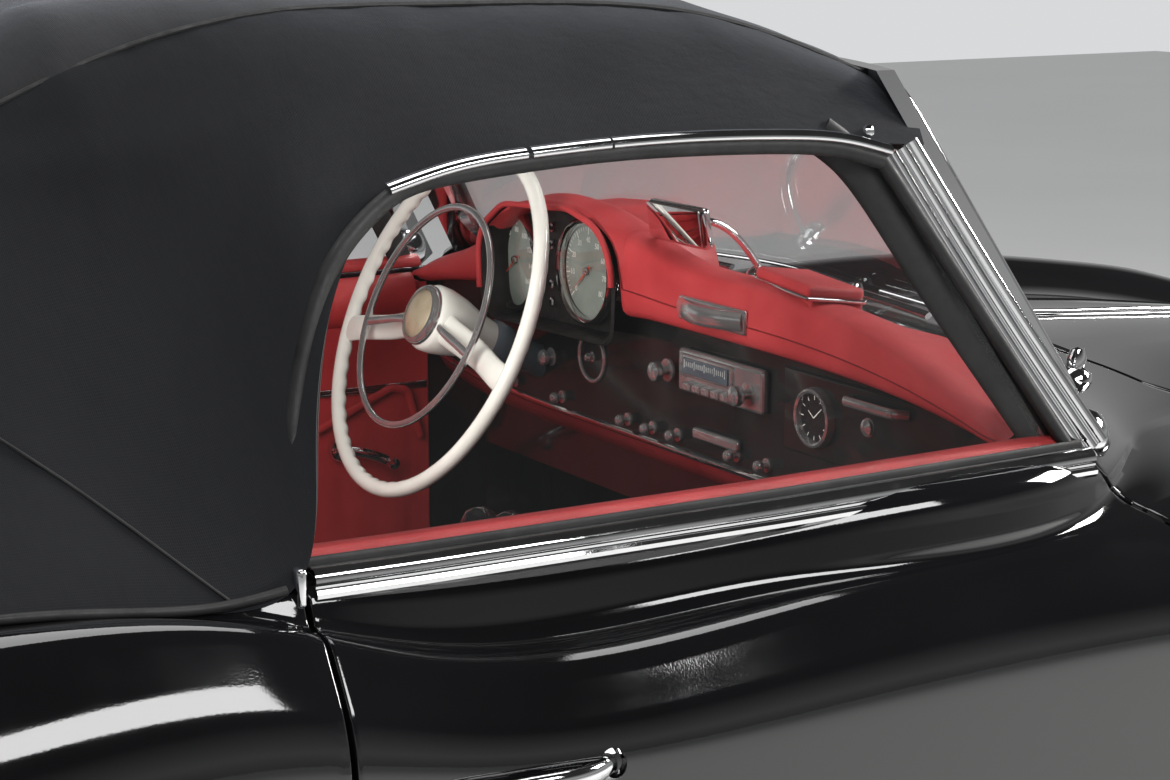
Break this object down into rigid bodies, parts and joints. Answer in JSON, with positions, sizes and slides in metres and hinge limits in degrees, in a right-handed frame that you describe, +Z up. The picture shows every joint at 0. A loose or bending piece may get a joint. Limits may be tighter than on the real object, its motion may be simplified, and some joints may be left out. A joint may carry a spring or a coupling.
{
  "type": "1950s convertible car",
  "caption": "Two-seat car with its fabric top up, opening doors, bonnet, boot and glovebox, and steered wheels.",
  "frame": {"origin": "bottom centre of the overall box: mid-length over the bumpers, on the centreline, on the ground", "axes": "+X forward along the car, +Y to the car's left, +Z up"},
  "size_m": [4.29, 1.7426, 1.3501],
  "materials": {
    "body_paint": "gloss black paint",
    "chrome_trim": "polished chrome plate",
    "clear_glass": "clear glass",
    "lamp_glass": "clear fluted lamp glass",
    "top_fabric": "black woven roof cloth",
    "red_leather": "dark red grained leather",
    "dial_black": "black dial",
    "ivory_plastic": "ivory moulded rim",
    "grey_metal": "dark grey satin paint",
    "cast_metal": "rough casting",
    "red_lens": "red lens",
    "tyre_rubber": "black rubber"
  },
  "bodies": {
    "chassis": {"front_body": "body_paint", "front_wing_left": "body_paint", "front_wing_right": "body_paint", "floor_pan": "body_paint", "rear_body": "body_paint", "windscreen_frame": "chrome_trim", "windscreen_glass": "clear_glass", "soft_top": "top_fabric", "rear_window": "clear_glass", "dashboard": "red_leather", "instruments": "dial_black", "steering_column": "grey_metal", "seat_cushions": "red_leather", "seat_backs": "red_leather", "seat_frames": "grey_metal", "pedals": "grey_metal", "gear_lever": "chrome_trim", "mirror": "chrome_trim", "wipers": "chrome_trim", "engine": "cast_metal", "propshaft": "grey_metal", "exhaust": "grey_metal", "front_subframe": "grey_metal", "rear_axle": "grey_metal", "front_bumper": "chrome_trim", "rear_bumper": "chrome_trim", "grille": "chrome_trim", "headlamps": "lamp_glass", "tail_lamps": "red_lens"},
    "door_left": {"door_left": "body_paint", "door_glass_left": "clear_glass"},
    "door_right": {"door_right": "body_paint", "door_glass_right": "clear_glass"},
    "bonnet": {"bonnet": "body_paint"},
    "boot_lid": {"boot_lid": "body_paint"},
    "glovebox_lid": {"glovebox_lid": "red_leather"},
    "steering_wheel": {"steering_wheel": "ivory_plastic"},
    "knuckle_left": {"knuckle_left": "grey_metal"},
    "knuckle_right": {"knuckle_right": "grey_metal"},
    "wheel_front_left": {"wheel_front_left": "body_paint", "tyre_front_left": "tyre_rubber"},
    "wheel_front_right": {"wheel_front_right": "body_paint", "tyre_front_right": "tyre_rubber"},
    "wheel_rear_left": {"wheel_rear_left": "body_paint", "tyre_rear_left": "tyre_rubber"},
    "wheel_rear_right": {"wheel_rear_right": "body_paint", "tyre_rear_right": "tyre_rubber"}
  },
  "joints": [
    {"name": "door_left_hinge", "type": "hinge", "parent": "chassis", "child": "door_left", "pos_m": [0.52, 0.815, 0.53], "axis": [0, 0, -1], "range_deg": [0, 65]},
    {"name": "door_right_hinge", "type": "hinge", "parent": "chassis", "child": "door_right", "pos_m": [0.52, -0.815, 0.53], "axis": [0, 0, 1], "range_deg": [0, 65]},
    {"name": "bonnet_hinge", "type": "hinge", "parent": "chassis", "child": "bonnet", "pos_m": [0.755, 0, 0.8532], "axis": [0, -1, 0], "range_deg": [0, 55]},
    {"name": "boot_lid_hinge", "type": "hinge", "parent": "chassis", "child": "boot_lid", "pos_m": [-0.875, 0, 0.87171], "axis": [0, 1, 0], "range_deg": [0, 55]},
    {"name": "glovebox_hinge", "type": "hinge", "parent": "chassis", "child": "glovebox_lid", "pos_m": [0.485, -0.4125, 0.797], "axis": [0, -1, 0], "range_deg": [0, 75]},
    {"name": "steer_left", "type": "hinge", "parent": "chassis", "child": "knuckle_left", "pos_m": [1.385, 0.645, 0.32], "axis": [0, 0, 1], "range_deg": [-30, 30]},
    {"name": "steer_right", "type": "hinge", "parent": "chassis", "child": "knuckle_right", "pos_m": [1.385, -0.645, 0.32], "axis": [0, 0, 1], "range_deg": [-30, 30]},
    {"name": "steering_turn", "type": "hinge", "parent": "chassis", "child": "steering_wheel", "pos_m": [0.322, 0.368, 0.87], "axis": [-0.9171, 0, 0.3987], "range_deg": [-511, 511]},
    {"name": "wheel_front_left_spin", "type": "hinge", "parent": "knuckle_left", "child": "wheel_front_left", "pos_m": [1.385, 0.715, 0.32], "axis": [0, 1, 0], "continuous": true},
    {"name": "wheel_front_right_spin", "type": "hinge", "parent": "knuckle_right", "child": "wheel_front_right", "pos_m": [1.385, -0.715, 0.32], "axis": [0, 1, 0], "continuous": true},
    {"name": "wheel_rear_left_spin", "type": "hinge", "parent": "chassis", "child": "wheel_rear_left", "pos_m": [-1.015, 0.7375, 0.32], "axis": [0, 1, 0], "continuous": true},
    {"name": "wheel_rear_right_spin", "type": "hinge", "parent": "chassis", "child": "wheel_rear_right", "pos_m": [-1.015, -0.7375, 0.32], "axis": [0, 1, 0], "continuous": true}
  ],
  "couplings": [
    {"joint": "steer_right", "follows": "steer_left", "ratio": 1},
    {"joint": "steering_turn", "follows": "steer_left", "ratio": 17}
  ]
}
